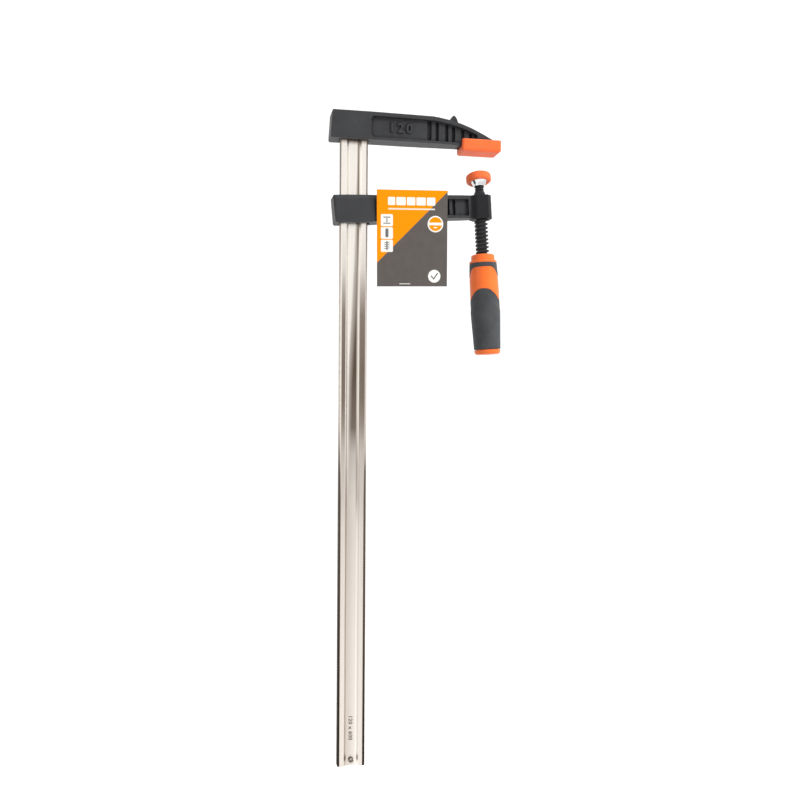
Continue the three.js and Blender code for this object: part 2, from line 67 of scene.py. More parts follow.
class Mat:
    """A node tree with short helpers. Coordinates are the object's own, in metres."""

    def __init__(self, name):
        self.m = bpy.data.materials.new(name)
        self.m.use_nodes = True
        self.nt = self.m.node_tree
        self.nt.nodes.clear()
        self.out = self.nt.nodes.new("ShaderNodeOutputMaterial")
        self.p = self.nt.nodes.new("ShaderNodeBsdfPrincipled")
        self.nt.links.new(self.p.outputs[0], self.out.inputs[0])
        self.co = self.nt.nodes.new("ShaderNodeTexCoord").outputs["Object"]

    def link(self, a, b):
        self.nt.links.new(a, b)

    def put(self, socket, value):
        if isinstance(value, bpy.types.NodeSocket):
            self.link(value, socket)
        else:
            socket.default_value = value

    def set(self, **values):
        names = {
            "color": "Base Color",
            "rough": "Roughness",
            "metal": "Metallic",
            "normal": "Normal",
            "spec": "Specular IOR Level",
            "coat": "Coat Weight",
            "coat_rough": "Coat Roughness",
            "sheen": "Sheen Weight",
            "aniso": "Anisotropic",
            "aniso_rot": "Anisotropic Rotation",
            "tangent": "Tangent",
            "sss": "Subsurface Weight",
            "sss_scale": "Subsurface Scale",
        }
        for k, v in values.items():
            self.put(self.p.inputs[names[k]], v)

    def scaled(self, x=1.0, y=1.0, z=1.0):
        n = self.nt.nodes.new("ShaderNodeMapping")
        self.link(self.co, n.inputs[0])
        n.inputs["Scale"].default_value = (x, y, z)
        return n.outputs[0]

    def noise(self, scale, detail=3.0, rough=0.55, vec=None, dist=0.0):
        n = self.nt.nodes.new("ShaderNodeTexNoise")
        self.link(vec if vec is not None else self.co, n.inputs["Vector"])
        n.inputs["Scale"].default_value = scale
        n.inputs["Detail"].default_value = detail
        n.inputs["Roughness"].default_value = rough
        n.inputs["Distortion"].default_value = dist
        return n.outputs["Fac"]

    def voronoi(self, scale, feature="F1", vec=None):
        n = self.nt.nodes.new("ShaderNodeTexVoronoi")
        n.feature = feature
        self.link(vec if vec is not None else self.co, n.inputs["Vector"])
        n.inputs["Scale"].default_value = scale
        return n.outputs["Distance"]

    def ramp(self, fac, stops):
        n = self.nt.nodes.new("ShaderNodeValToRGB")
        e = n.color_ramp.elements
        while len(e) < len(stops):
            e.new(0.5)
        for el, (pos, col) in zip(e, stops):
            el.position = pos
            el.color = col if isinstance(col, tuple) else (col, col, col, 1.0)
        self.put(n.inputs[0], fac)
        return n.outputs["Color"]

    def math(self, op, a, b=0.0, c=0.0, clamp=False):
        n = self.nt.nodes.new("ShaderNodeMath")
        n.operation = op
        n.use_clamp = clamp
        self.put(n.inputs[0], a)
        self.put(n.inputs[1], b)
        if op in ("MULTIPLY_ADD", "SMOOTH_MIN", "COMPARE"):
            self.put(n.inputs[2], c)
        return n.outputs[0]

    def mix(self, fac, a, b):
        n = self.nt.nodes.new("ShaderNodeMix")
        n.data_type = "RGBA"
        self.put(n.inputs[0], fac)
        self.put(n.inputs[6], a)
        self.put(n.inputs[7], b)
        return n.outputs[2]

    def map(self, v, a0, a1, b0, b1):
        n = self.nt.nodes.new("ShaderNodeMapRange")
        n.clamp = True
        self.put(n.inputs[0], v)
        for i, x in enumerate((a0, a1, b0, b1)):
            n.inputs[i + 1].default_value = x
        return n.outputs[0]

    def xyz(self, vec=None):
        n = self.nt.nodes.new("ShaderNodeSeparateXYZ")
        self.link(vec if vec is not None else self.co, n.inputs[0])
        return n.outputs

    def pointiness(self):
        return self.nt.nodes.new("ShaderNodeNewGeometry").outputs["Pointiness"]

    def bump(self, height, dist, strength=1.0, normal=None):
        n = self.nt.nodes.new("ShaderNodeBump")
        n.inputs["Strength"].default_value = strength
        n.inputs["Distance"].default_value = dist
        self.put(n.inputs["Height"], height)
        if normal is not None:
            self.link(normal, n.inputs["Normal"])
        return n.outputs[0]


def iron_paint():
    m = Mat("jaw_iron")
    broad = m.noise(45, 4, 0.6)
    grain = m.noise(900, 5, 0.65)
    pits = m.voronoi(620)
    col = m.ramp(broad, [(0.3, srgb(41, 42, 45)), (0.7, srgb(51, 52, 55))])
    col = m.mix(m.map(grain, 0.45, 0.8, 0.0, 0.5), col, srgb(68, 68, 70))
    edge = m.map(m.pointiness(), 0.515, 0.6, 0.0, 1.0)
    chips = m.map(m.noise(260, 4, 0.7), 0.52, 0.66, 0.0, 1.0)
    wear = m.math("MULTIPLY", edge, chips)
    col = m.mix(m.math("MULTIPLY", wear, 0.55), col, srgb(128, 127, 126))
    # painted shade: creases and recess corners darkened
    hollow_shade = m.map(m.pointiness(), 0.40, 0.49, 0.55, 0.0)
    col = m.mix(hollow_shade, col, srgb(24, 24, 26))
    # painted shade: ambient occlusion darkens recess edges and corners, and lowers their specular
    near = m.nt.nodes.new("ShaderNodeAmbientOcclusion")
    near.samples = 6
    near.inputs["Distance"].default_value = 0.0045
    occlusion_shade = m.map(near.outputs["AO"], 0.42, 0.93, 1.0, 0.0)
    col = m.mix(m.math("MULTIPLY", occlusion_shade, 0.85), col, srgb(13, 13, 15))
    # the arm's boss is coloured darker, with less specular, than the rest of the casting
    ox, _, oz = m.xyz()
    boss = m.math("MULTIPLY", m.map(ox, 0.1205, 0.1225, 0.0, 1.0), m.map(oz, 0.60, 0.605, 1.0, 0.0))
    col = m.mix(m.math("MULTIPLY", boss, 0.85), col, srgb(17, 17, 20))
    # painted shade: the arm's left end darkened, on the side away from the light
    left_end_shade = m.math("MULTIPLY", m.map(ox, -0.0205, -0.0185, 1.0, 0.0), m.map(oz, 0.60, 0.605, 1.0, 0.0))
    col = m.mix(m.math("MULTIPLY", left_end_shade, 0.6), col, srgb(20, 20, 22))
    m.set(
        color=col,
        rough=m.map(grain, 0.3, 0.75, 0.42, 0.62),
        metal=m.math("MULTIPLY", wear, 0.4),
        spec=m.math("SUBTRACT", m.map(occlusion_shade, 0.0, 1.0, 0.4, 0.1), m.math("MULTIPLY", boss, 0.15)),
    )
    b = m.bump(m.map(pits, 0.0, 0.6, 0.0, 1.0), 0.00012, 0.35)
    b = m.bump(grain, 0.00016, 0.55, b)
    m.set(normal=b)
    return m.m


def bar_steel():
    m = Mat("bar_steel")
    x, y, z = m.xyz()
    xm = m.math("MULTIPLY", x, 1000.0)
    ax = m.math("ABSOLUTE", xm)
    zn = m.math("DIVIDE", z, 0.66)

    def along(stops):
        """A value that changes up the bar: (height in metres, value) pairs."""
        return m.ramp(zn, [(h / 0.66, v) for h, v in stops])

    streak = m.noise(1.0, 4, 0.6, m.scaled(2600, 2600, 9))
    fine = m.noise(1.0, 5, 0.7, m.scaled(5200, 5200, 46))
    blotch = m.noise(34, 3, 0.5)
    col = m.ramp(streak, [(0.25, srgb(238, 230, 221)), (0.75, srgb(248, 242, 235))])
    col = m.mix(m.map(blotch, 0.45, 0.75, 0.0, 0.2), col, srgb(226, 215, 203))
    # painted reflection: the steel darker in the lower half and lighter towards the top
    col = m.mix(along([(0.0, 0.75), (0.27, 0.75), (0.35, 0.2), (0.46, 0.0)]), col, srgb(204, 196, 189))
    col = m.mix(along([(0.44, 0.0), (0.52, 0.4)]), col, srgb(255, 251, 245))
    # painted dark reflection: broad on the flanges at mid height, and a slanted streak along the groove floor
    dark = srgb(122, 109, 98)
    wav = m.math("MULTIPLY", m.math("SUBTRACT", m.noise(1.0, 3, 0.5, m.scaled(60, 60, 14)), 0.5), 1.4)
    xw = m.math("ADD", xm, wav)
    axw = m.math("ABSOLUTE", xw)
    band = along([(0.24, 0.0), (0.285, 0.24), (0.318, 0.42), (0.345, 0.82), (0.37, 0.97), (0.40, 1.0), (0.455, 0.92), (0.478, 0.66), (0.504, 0.24), (0.545, 0.0)])
    flange = m.math("MAXIMUM", m.map(xm, -8.4, -7.6, 1.0, 0.0), m.map(xm, 5.9, 6.7, 0.0, 1.0))
    flange = m.math("MULTIPLY", flange, m.map(ax, 11.6, 12.4, 1.0, 0.0))
    col = m.mix(m.math("MULTIPLY", flange, band), col, dark)
    left_at = along([(0.30, 0.12), (0.383, 0.19), (0.413, 0.26), (0.443, 0.34), (0.474, 0.41), (0.504, 0.48), (0.534, 0.53), (0.582, 0.59), (0.62, 0.7)])
    edge_at = m.math("MULTIPLY_ADD", left_at, 20.0, -10.0)
    stop_at = m.math("MULTIPLY", along([(0.46, 0.4), (0.58, 0.56)]), 10.0)
    past = m.math("SUBTRACT", xw, edge_at)
    slant_reflection = m.math("ADD", m.map(past, 0.0, 1.8, 0.0, 0.55), m.map(past, 1.8, 6.0, 0.0, 0.45))
    slant_reflection = m.math("MULTIPLY", slant_reflection, m.map(m.math("SUBTRACT", xm, stop_at), -0.7, 0.5, 1.0, 0.0))
    slant_reflection = m.math("MULTIPLY", slant_reflection, m.map(xm, -6.6, -5.8, 0.0, 1.0))
    slant_reflection = m.math("MULTIPLY", slant_reflection, along([(0.27, 0.0), (0.315, 0.34), (0.342, 0.9), (0.40, 1.0), (0.52, 0.9), (0.60, 0.8)]))
    col = m.mix(slant_reflection, col, srgb(96, 82, 70))
    # painted dark reflection on the right side of the groove, varying with height
    wall = m.math("MULTIPLY", m.map(xm, 3.2, 4.0, 0.0, 1.0), m.map(xm, 5.2, 6.0, 1.0, 0.0))
    col = m.mix(m.math("MULTIPLY", wall, along([(0.245, 0.0), (0.27, 0.5), (0.30, 0.7), (0.33, 0.45), (0.36, 0.25), (0.46, 0.35), (0.504, 0.5), (0.54, 1.0), (0.62, 0.85)])), col, srgb(134, 118, 104))
    # soft shade along the left groove wall, in the lower half
    shade = m.math("MULTIPLY", m.map(xw, -7.9, -6.5, 0.0, 1.0), m.map(xw, -6.5, 2.2, 1.0, 0.0))
    col = m.mix(m.math("MULTIPLY", shade, along([(0.31, 0.42), (0.345, 0.0)])), col, srgb(148, 134, 119))
    # painted highlight: the left groove wall lightened from about mid height up
    left_wall_highlight = m.math("MULTIPLY", m.map(xm, -8.2, -7.4, 0.0, 1.0), m.map(xm, -5.6, -3.2, 1.0, 0.0))
    col = m.mix(m.math("MULTIPLY", left_wall_highlight, along([(0.0, 0.0), (0.27, 0.0), (0.33, 0.75), (0.40, 1.0)])), col, srgb(255, 250, 243))
    # painted light: the right groove wall lightened in the lower half, against its shading
    right_wall_light = m.math("MULTIPLY", m.map(xm, 3.6, 4.6, 0.0, 1.0), m.map(xm, 7.2, 8.0, 1.0, 0.0))
    col = m.mix(m.math("MULTIPLY", right_wall_light, along([(0.0, 0.5), (0.22, 0.4), (0.27, 0.0)])), col, srgb(255, 250, 243))
    spots = m.map(m.noise(520, 3, 0.6), 0.66, 0.74, 0.0, 0.35)
    col = m.mix(spots, col, srgb(170, 154, 138))
    # the rolled narrow edges are dark and oily, darker towards the foot; their tone by height is also painted shade on
    # the left side face and painted reflection along both edges
    low = along([(0.0, 1.0), (0.27, 1.0), (0.34, 0.0)])
    rim_l = m.map(m.math("SUBTRACT", xm, m.math("MULTIPLY", low, 1.2)), -13.5, -12.9, 1.0, 0.0)
    rim_r = m.map(m.math("MULTIPLY_ADD", low, 1.0, xm), 11.9, 12.5, 0.0, 1.0)
    rim = m.math("MAXIMUM", rim_l, rim_r)
    edge_oil_and_shade = m.ramp(zn, [(0.0, srgb(30, 20, 12)), (0.16, srgb(58, 46, 36)), (0.32, srgb(84, 72, 62)), (0.45, srgb(104, 92, 82)), (0.50, srgb(180, 168, 156)), (0.56, srgb(214, 204, 194)), (0.70, srgb(208, 198, 188)), (0.80, srgb(170, 159, 148)), (0.92, srgb(138, 128, 118))])
    edge_oil_and_shade = m.mix(m.map(m.noise(210, 4, 0.65), 0.4, 0.7, 0.0, 0.4), edge_oil_and_shade, srgb(66, 54, 44))
    # painted highlight on the right edge at mid height
    right_rim_highlight = m.math("MULTIPLY", m.map(xm, 0.0, 1.0, 0.0, 1.0), along([(0.30, 0.0), (0.335, 1.0), (0.45, 0.85), (0.50, 0.0)]))
    edge_oil_and_shade = m.mix(m.math("MULTIPLY", right_rim_highlight, 0.8), edge_oil_and_shade, srgb(214, 204, 194))
    # the bar darkens to reddish brown over the last few millimetres below the fixed jaw
    top = m.map(z, 0.6285, 0.6335, 0.0, 0.8)
    col = m.mix(top, col, srgb(118, 84, 70))
    col = m.mix(rim, col, edge_oil_and_shade)
    m.set(
        color=col,
        metal=m.math("SUBTRACT", 1.0, m.math("MULTIPLY", rim, m.math("MULTIPLY_ADD", low, 0.9, 0.1))),
        spec=m.math("SUBTRACT", 0.5, m.math("MULTIPLY", rim, 0.42)),
        rough=m.math("ADD", m.map(fine, 0.3, 0.7, 0.27, 0.4), m.math("MULTIPLY", rim, 0.15)),
    )
    b = m.bump(streak, 0.00003, 0.35)
    b = m.bump(fine, 0.00002, 0.4, b)
    m.set(normal=b)
    return m.m


def black_steel():
    m = Mat("spindle_steel")
    n = m.noise(420, 4, 0.6)
    edge = m.map(m.pointiness(), 0.53, 0.62, 0.0, 1.0)
    col = m.ramp(n, [(0.3, srgb(34, 34, 37)), (0.75, srgb(52, 52, 55))])
    wear = m.math("MULTIPLY", edge, m.map(m.noise(700, 3), 0.45, 0.62, 0.0, 0.8))
    col = m.mix(wear, col, srgb(120, 118, 116))
    m.set(color=col, metal=m.map(wear, 0, 1, 0.55, 0.9), rough=m.map(n, 0.3, 0.7, 0.32, 0.5))
    m.set(normal=m.bump(m.noise(1600, 3), 0.00004, 0.5))
    return m.m


def chrome():
    m = Mat("plate_chrome")
    n = m.noise(300, 3)
    scratch = m.noise(1.0, 3, 0.6, m.scaled(300, 300, 6000))
    m.set(
        color=m.ramp(n, [(0.3, srgb(214, 216, 218)), (0.7, srgb(232, 233, 234))]),
        metal=1.0,
        rough=m.map(scratch, 0.35, 0.7, 0.06, 0.16),
        normal=m.bump(scratch, 0.00001, 0.4),
    )
    return m.m


def pin_steel():
    m = Mat("pin_steel")
    n = m.noise(900, 3)
    m.set(
        color=m.ramp(n, [(0.3, srgb(128, 118, 106)), (0.7, srgb(168, 160, 150))]),
        metal=1.0,
        rough=m.map(n, 0.3, 0.7, 0.26, 0.42),
        normal=m.bump(n, 0.00003, 0.5),
    )
    return m.m


def orange_plastic(name, base, light, rough0, rough1, grain_mm=0.00003):
    m = Mat(name)
    broad = m.noise(28, 3)
    grain = m.noise(1500, 3, 0.6)
    col = m.ramp(broad, [(0.3, srgb(*base)), (0.7, srgb(*light))])
    edge = m.map(m.pointiness(), 0.52, 0.6, 0.0, 1.0)
    scuff = m.math("MULTIPLY", edge, m.map(m.noise(330, 4), 0.45, 0.65, 0.0, 0.5))
    col = m.mix(scuff, col, srgb(255, 172, 120))
    # painted shade: hollows and creases darkened to a deeper orange
    crease_shade = m.map(m.pointiness(), 0.42, 0.49, 0.35, 0.0)
    col = m.mix(crease_shade, col, srgb(190, 66, 16))
    m.set(
        color=col,
        rough=m.map(grain, 0.3, 0.7, rough0, rough1),
        spec=0.45,
        sss=0.08,
        sss_scale=0.002,
        normal=m.bump(grain, grain_mm, 0.6),
    )
    return m.m


def rubber():
    m = Mat("grip_rubber")
    broad = m.noise(60, 3)
    grain = m.noise(2100, 4, 0.65)
    stipple = m.voronoi(1900)
    col = m.ramp(broad, [(0.3, srgb(62, 64, 67)), (0.7, srgb(73, 75, 78))])
    edge = m.map(m.pointiness(), 0.52, 0.6, 0.0, 0.5)
    col = m.mix(edge, col, srgb(104, 106, 110))
    dust = m.map(m.noise(140, 5, 0.7), 0.56, 0.75, 0.0, 0.2)
    col = m.mix(dust, col, srgb(112, 112, 114))
    m.set(color=col, rough=m.map(grain, 0.3, 0.7, 0.62, 0.82), spec=0.28, sheen=0.12)
    b = m.bump(stipple, 0.00006, 0.4)
    m.set(normal=m.bump(grain, 0.00005, 0.5, b))
    return m.m


M_IRON = iron_paint()
M_BAR = bar_steel()
M_BLACK = black_steel()
M_CHROME = chrome()
M_PIN = pin_steel()
M_CAP = orange_plastic("cap_plastic", (250, 104, 46), (255, 118, 62), 0.42, 0.58)
M_HANDLE = orange_plastic("handle_plastic", (250, 108, 34), (255, 121, 44), 0.26, 0.4, 0.00002)
M_RUBBER = rubber()


# ------------------------------------------------------------------ mesh helpers
def finish_mesh(name, verts, faces, frame_matrix, body, material, angle=35.0, cad=()):
    me = bpy.data.meshes.new(name)
    mat = SCALE @ frame_matrix
    a = np.array(mat, float)
    v = np.asarray(verts, float) @ a[:3, :3].T + a[:3, 3]
    me.from_pydata(v.tolist(), [], faces)
    me.validate()
    me.polygons.foreach_set("use_smooth", [True] * len(me.polygons))
    ob = bpy.data.objects.new(name, me)
    bpy.context.scene.collection.objects.link(ob)
    bm = bmesh.new()
    bm.from_mesh(me)
    bmesh.ops.recalc_face_normals(bm, faces=bm.faces)
    bm.to_mesh(me)
    bm.free()
    me.set_sharp_from_angle(angle=math.radians(angle))
    me.materials.append(material)
    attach(ob, body)
    if cad:
        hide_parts(*cad)
    return ob


def fillet(pts, radii, seg=5, closed=False):
    """Rounds the corners of a polyline by the given radii."""
    out = []
    n = len(pts)
    for i, (p, r) in enumerate(zip(pts, radii)):
        if r <= 0 or (not closed and i in (0, n - 1)):
            out.append((float(p[0]), float(p[1])))
            continue
        a, b, c = (np.array(pts[k % n], float) for k in (i - 1, i, i + 1))
        u, v = a - b, c - b
        lu, lv = np.linalg.norm(u), np.linalg.norm(v)
        u, v = u / lu, v / lv
        ang = math.acos(max(-1, min(1, float(u @ v))))
        if ang > math.radians(178):
            out.append((float(b[0]), float(b[1])))
            continue
        t = min(r / math.tan(ang / 2), 0.48 * lu, 0.48 * lv)
        rr = t * math.tan(ang / 2)
        bis = (u + v) / np.linalg.norm(u + v)
        cen = b + bis * (rr / math.sin(ang / 2))
        p0, p1 = b + u * t, b + v * t
        a0 = math.atan2(*(p0 - cen)[::-1])
        a1 = math.atan2(*(p1 - cen)[::-1])
        d = (a1 - a0 + math.pi) % (2 * math.pi) - math.pi
        for k in range(seg + 1):
            t2 = a0 + d * k / seg
            out.append((float(cen[0] + rr * math.cos(t2)), float(cen[1] + rr * math.sin(t2))))
    return out


def densify(pts, step, closed=False):
    out = []
    n = len(pts)
    for i in range(n if closed else n - 1):
        a, b = np.array(pts[i], float), np.array(pts[(i + 1) % n], float)
        k = max(1, int(math.ceil(np.linalg.norm(b - a) / step)))
        for j in range(k):
            out.append(tuple(a + (b - a) * j / k))
    if not closed:
        out.append(tuple(pts[-1]))
    return out


def turned(profile, n=128, wobble=None):
    """Verts and faces of [radius, height] pairs turned about Z. Ends on the axis close; otherwise the profile closes on itself."""
    verts, faces, rings = [], [], []
    for r, z in profile:
        if r < 1e-6:
            rings.append([len(verts)])
            verts.append((0.0, 0.0, z))
        else:
            first = len(verts)
            for j in range(n):
                t = 2 * math.pi * j / n
                rr = r + (wobble(t, z) if wobble else 0.0)
                verts.append((rr * math.cos(t), rr * math.sin(t), z))
            rings.append(list(range(first, first + n)))
    on_axis = len(rings[0]) == 1 and len(rings[-1]) == 1
    pairs = list(zip(rings, rings[1:])) + ([] if on_axis else [(rings[-1], rings[0])])
    for a, b in pairs:
        for j in range(n):
            k = (j + 1) % n
            if len(a) == 1 and len(b) == 1:
                continue
            if len(a) == 1:
                faces.append((a[0], b[k], b[j]))
            elif len(b) == 1:
                faces.append((a[j], a[k], b[0]))
            else:
                faces.append((a[j], a[k], b[k], b[j]))
    return verts, faces


def grid_faces(rows, cols, offset=0, wrap=True):
    faces = []
    for i in range(rows - 1):
        for j in range(cols if wrap else cols - 1):
            k = (j + 1) % cols
            faces.append((offset + i * cols + j, offset + i * cols + k, offset + (i + 1) * cols + k, offset + (i + 1) * cols + j))
    return faces


def apply_modifiers(ob):
    dg = bpy.context.evaluated_depsgraph_get()
    me = bpy.data.meshes.new_from_object(ob.evaluated_get(dg))
    old = ob.data
    ob.modifiers.clear()
    ob.data = me
    bpy.data.meshes.remove(old)
    return me


def smooth_noise(co, scale, seed):
    """Seeded sum of sines: a cheap, repeatable, smooth displacement field in -1..1."""
    rng = np.random.RandomState(seed)
    out = np.zeros(len(co))
    for _ in range(14):
        k = rng.normal(size=3)
        k *= 2 * math.pi * scale * rng.uniform(0.6, 1.6) / np.linalg.norm(k)
        out += np.sin(co @ k + rng.uniform(0, 2 * math.pi))
    return out / 5.3


def from_cad(name, node, body, material, voxel, smooth, extras=(), lumps=0.0, angle=50.0):
    """A cast or moulded piece: the CAD solid plus raised details, fused and given soft edges."""
    src = nodes[node].data
    bm = bmesh.new()
    bm.from_mesh(src)
    bmesh.ops.remove_doubles(bm, verts=bm.verts, dist=1e-6)
    for verts, faces, mtx in extras:
        a = np.array(SCALE @ mtx, float)
        v = np.asarray(verts, float) @ a[:3, :3].T + a[:3, 3]
        vs = [bm.verts.new(p) for p in v]
        for f in faces:
            bm.faces.new([vs[i] for i in f])
    me = bpy.data.meshes.new(name)
    bm.to_mesh(me)
    bm.free()
    ob = bpy.data.objects.new(name, me)
    bpy.context.scene.collection.objects.link(ob)
    r = ob.modifiers.new("remesh", "REMESH")
    r.mode = "VOXEL"
    r.voxel_size = voxel * MM
    r.use_smooth_shade = True
    s = ob.modifiers.new("smooth", "SMOOTH")
    s.factor = 0.5
    s.iterations = smooth
    me = apply_modifiers(ob)
    if lumps:
        n = len(me.vertices)
        co = np.zeros(n * 3)
        no = np.zeros(n * 3)
        me.vertices.foreach_get("co", co)
        me.vertices.foreach_get("normal", no)
        co, no = co.reshape(-1, 3), no.reshape(-1, 3)
        d = 0.6 * smooth_noise(co, 90, 11) + 0.4 * smooth_noise(co, 260, 12)
        co = co + no * (d * lumps * MM)[:, None]
        me.vertices.foreach_set("co", co.ravel())
        me.update()
    me.polygons.foreach_set("use_smooth", [True] * len(me.polygons))
    me.materials.clear()
    me.materials.append(material)
    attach(ob, body)
    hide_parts(node)
    return ob


def text_mesh(text, size, depth, bold=0.0, spacing=1.0):
    """Verts and faces, in mm, of plain digits in the XY plane, raised along Z and centred."""
    cu = bpy.data.curves.new("digits", "FONT")
    cu.body = text
    cu.size = size
    cu.extrude = depth / 2
    cu.offset = bold
    cu.space_character = spacing
    cu.resolution_u = 4
    cu.align_x = "CENTER"
    cu.align_y = "CENTER"
    ob = bpy.data.objects.new("digits", cu)
    bpy.context.scene.collection.objects.link(ob)
    dg = bpy.context.evaluated_depsgraph_get()
    me = bpy.data.meshes.new_from_object(ob.evaluated_get(dg))
    bm = bmesh.new()
    bm.from_mesh(me)
    bmesh.ops.remove_doubles(bm, verts=bm.verts, dist=1e-4)
    bm.verts.ensure_lookup_table()
    verts = [tuple(v.co) for v in bm.verts]
    faces = [tuple(v.index for v in f.verts) for f in bm.faces]
    bm.free()
    bpy.data.meshes.remove(me)
    bpy.data.objects.remove(ob)
    bpy.data.curves.remove(cu)
    return verts, faces


# Digits lie in XZ facing -Y (front) or +Y (back).
FACE_FRONT = Matrix.Rotation(math.radians(90), 4, "X")
FACE_BACK = Matrix.Rotation(math.radians(180), 4, "Z") @ FACE_FRONT


# ------------------------------------------------------------------ bar
def build_bar():
    hw, ht, gt, gf, gd, bc = 14.0, 5.5, 7.6, 5.3, 2.9, 1.1
    quarter = [(hw, -ht + bc), (hw - bc, -ht), (gt, -ht), (gf, -gd)]
    ring = []
    for sx, sy, order in ((1, 1, 1), (-1, 1, -1), (-1, -1, 1), (1, -1, -1)):
        q = [(sx * x, sy * y) for x, y in quarter][::order]
        ring.append(q)
    # order the corners once round: right edge down the front face to the left edge, then back
    front = [(hw, -ht + bc), (hw - bc, -ht), (gt, -ht), (gf, -gd), (-gf, -gd), (-gt, -ht), (-hw + bc, -ht), (-hw, -ht + bc)]
    back = [(-x, -y) for x, y in front]
    pts = front + back
    radii = [0.5, 0.7, 0.9, 1.6, 1.6, 0.9, 0.7, 0.5] * 2
    prof = fillet(pts, radii, 5, closed=True)
    prof = densify(prof, 1.4, closed=True)
    prof = np.array(prof)
    n = len(prof)
    pitch = 1.6
    length = 660.4
    zs = [0.0, 0.25]
    z = 0.8
    while z < length - 0.8:
        zs += [z, z + 0.55 * pitch]
        z += pitch
    zs += [length - 0.25, length]
    verts = []
    for i, z in enumerate(zs):
        end = i in (0, len(zs) - 1)
        valley = i % 2 == 0 and 2 <= i < len(zs) - 2
        p = prof.copy()
        if end:
            p = p - np.sign(p) * 0.22
        if valley:
            side = np.abs(p[:, 0]) > 13.35
            depth = 0.34 * np.clip((np.abs(p[:, 0]) - 13.35) / 0.4, 0, 1)
            p[:, 0] -= np.sign(p[:, 0]) * depth * side
        verts += [(float(x), float(y), z) for x, y in p]
    faces = grid_faces(len(zs), n)
    faces.append(tuple(range(n))[::-1])
    last = (len(zs) - 1) * n
    faces.append(tuple(range(last, last + n)))
    ob = finish_mesh("bar", verts, faces, ROOT, "root", M_BAR, 32, ["bar_rail"])
    # cross hole for the stop pin
    cv, cf = [], []
    m = 48
    for s in (-1, 1):
        for j in range(m):
            t = 2 * math.pi * j / m
            cv.append((2.8 * math.cos(t) * MM, s * 9 * MM, (5.7 + 2.8 * math.sin(t)) * MM))
    for j in range(m):
        k = (j + 1) % m
        cf.append((j, k, m + k, m + j))
    cf.append(tuple(range(m))[::-1])
    cf.append(tuple(range(m, 2 * m)))
    cme = bpy.data.meshes.new("hole_tool")
    cme.from_pydata(cv, [], cf)
    bm = bmesh.new()
    bm.from_mesh(cme)
    bmesh.ops.recalc_face_normals(bm, faces=bm.faces)
    bm.to_mesh(cme)
    bm.free()
    tool = bpy.data.objects.new("hole_tool", cme)
    bpy.context.scene.collection.objects.link(tool)
    b = ob.modifiers.new("hole", "BOOLEAN")
    b.operation = "DIFFERENCE"
    b.solver = "EXACT"
    b.object = tool
    apply_modifiers(ob)
    bpy.data.objects.remove(tool)
    ob.data.set_sharp_from_angle(angle=math.radians(32))
    return ob


build_bar()


def build_pin(name, node, z, y0, y1):
    """Slotted spring pin along Y with rolled ends."""
    m = 64
    gap = math.radians(22)
    angs = [math.radians(-62) + gap / 2 + (2 * math.pi - gap) * j / m for j in range(m + 1)]
    sect = []
    for r, y in fillet([(1.5, y0 + 0.25), (1.75, y0), (2.15, y0), (2.5, y0 + 0.5), (2.5, y1 - 0.5), (2.15, y1), (1.75, y1), (1.5, y1 - 0.25)], [0.15] * 8, 3, True):
        sect.append((r, y))
    k = len(sect)
    verts, faces = [], []
    for a in angs:
        for r, y in sect:
            verts.append((r * math.cos(a), y, z + r * math.sin(a)))
    for j in range(m):
        for i in range(k):
            faces.append((j * k + i, j * k + (i + 1) % k, (j + 1) * k + (i + 1) % k, (j + 1) * k + i))
    faces.append(tuple(range(k))[::-1])
    faces.append(tuple(range(m * k, m * k + k)))
    return finish_mesh(name, verts, faces, ROOT, "root", M_PIN, 40, [node])


build_pin("stop_pin", "bar_stop_pin", 5.7, -6.2, 6.2)
build_pin("jaw_pin", "fixed_jaw_pin", 647.0, -7.4, 11.7)

# ------------------------------------------------------------------ castings
tv, tf = text_mesh("120", 13.4, 2.2, 0.55, 1.36)
jaw_tilt = math.atan2(12 - 8.8, 111 - 17)
jaw_digits = [
    (tv, tf, Matrix.Translation((47, -7.35, 646.7)) @ Matrix.Rotation(jaw_tilt * 0.95, 4, "Z") @ FACE_FRONT),
    (tv, tf, Matrix.Translation((47, 7.35, 646.7)) @ Matrix.Rotation(-jaw_tilt * 0.95, 4, "Z") @ FACE_BACK),
]
from_cad("jaw", "fixed_jaw", "root", M_IRON, 0.42, 3, jaw_digits, lumps=0.05)
from_cad("arm_casting", "sliding_arm", "arm", M_IRON, 0.42, 3, (), lumps=0.05)
from_cad("jaw_cap", "fixed_jaw_cap", "root", M_CAP, 0.3, 14, (), lumps=0.0)


